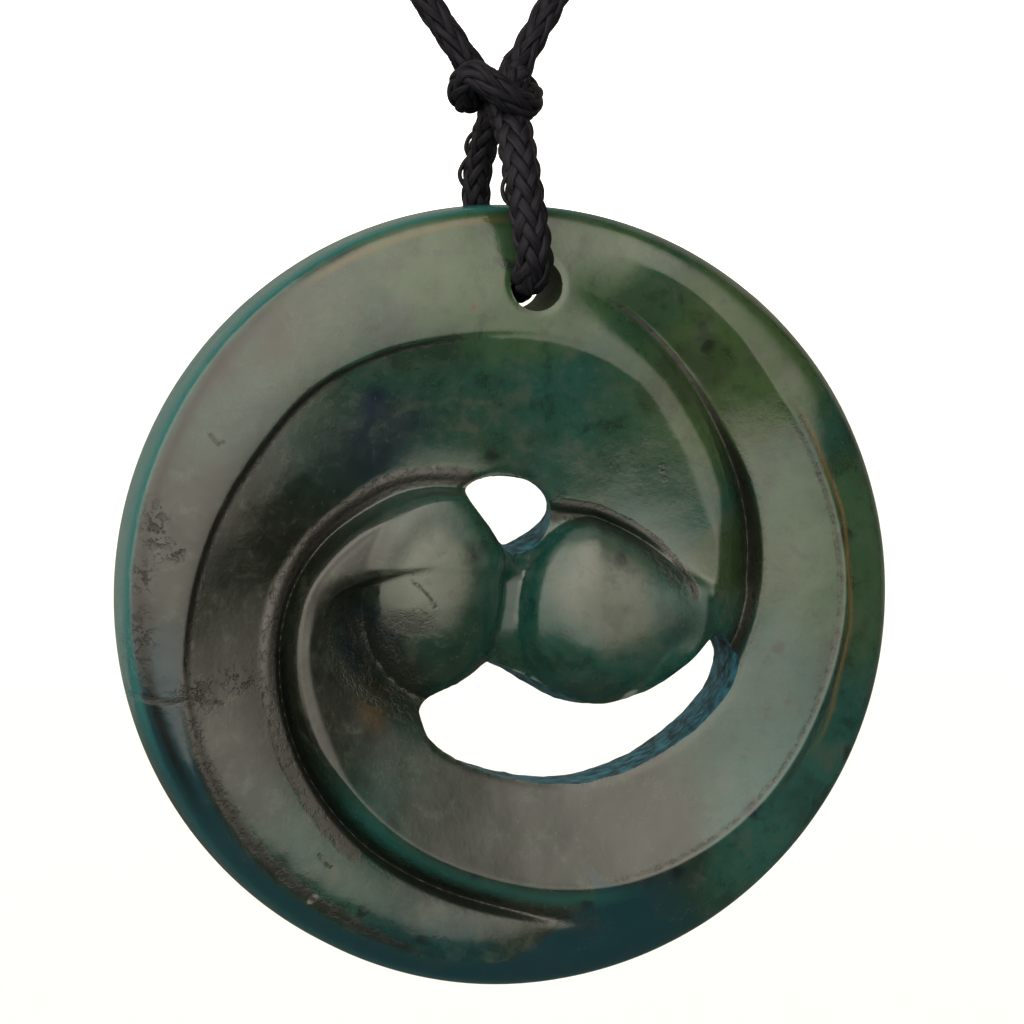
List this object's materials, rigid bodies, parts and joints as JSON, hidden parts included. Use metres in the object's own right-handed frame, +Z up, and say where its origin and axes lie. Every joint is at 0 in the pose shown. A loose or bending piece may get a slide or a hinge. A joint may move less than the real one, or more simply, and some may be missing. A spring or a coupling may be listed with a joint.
{
  "type": "koru pendant on a cord",
  "caption": "Round greenstone pendant carved in relief with two interlocked spirals and sawn through between them, drilled near its edge and hanging from a knotted black braided neck cord.",
  "frame": {"origin": "where the neck loop rests on the nape: the underside of its closing knot", "axes": "+Z up, the stone hanging straight below; the carved face of the stone towards -Y; the loop leans back towards +Y; X across the wearer, left to right as seen from the front"},
  "size_m": [0.1302, 0.0571, 0.2403],
  "materials": {
    "greenstone": "carved and hand polished nephrite, with rough sawn walls in the two openings",
    "cord": "black braided cord, lightly waxed"
  },
  "bodies": {
    "cord": {"pendant_loop": "cord", "front_knot": "cord", "neck_cord_left": "cord", "neck_cord_right": "cord", "nape_knot": "cord"},
    "stone": {"koru_disc": "greenstone"}
  },
  "joints": [
    {"name": "stone_swing", "type": "hinge", "parent": "cord", "child": "stone", "pos_m": [0.00165, -0.0483, -0.18926], "axis": [0, 1, 0], "range_deg": [-40, 40]}
  ]
}
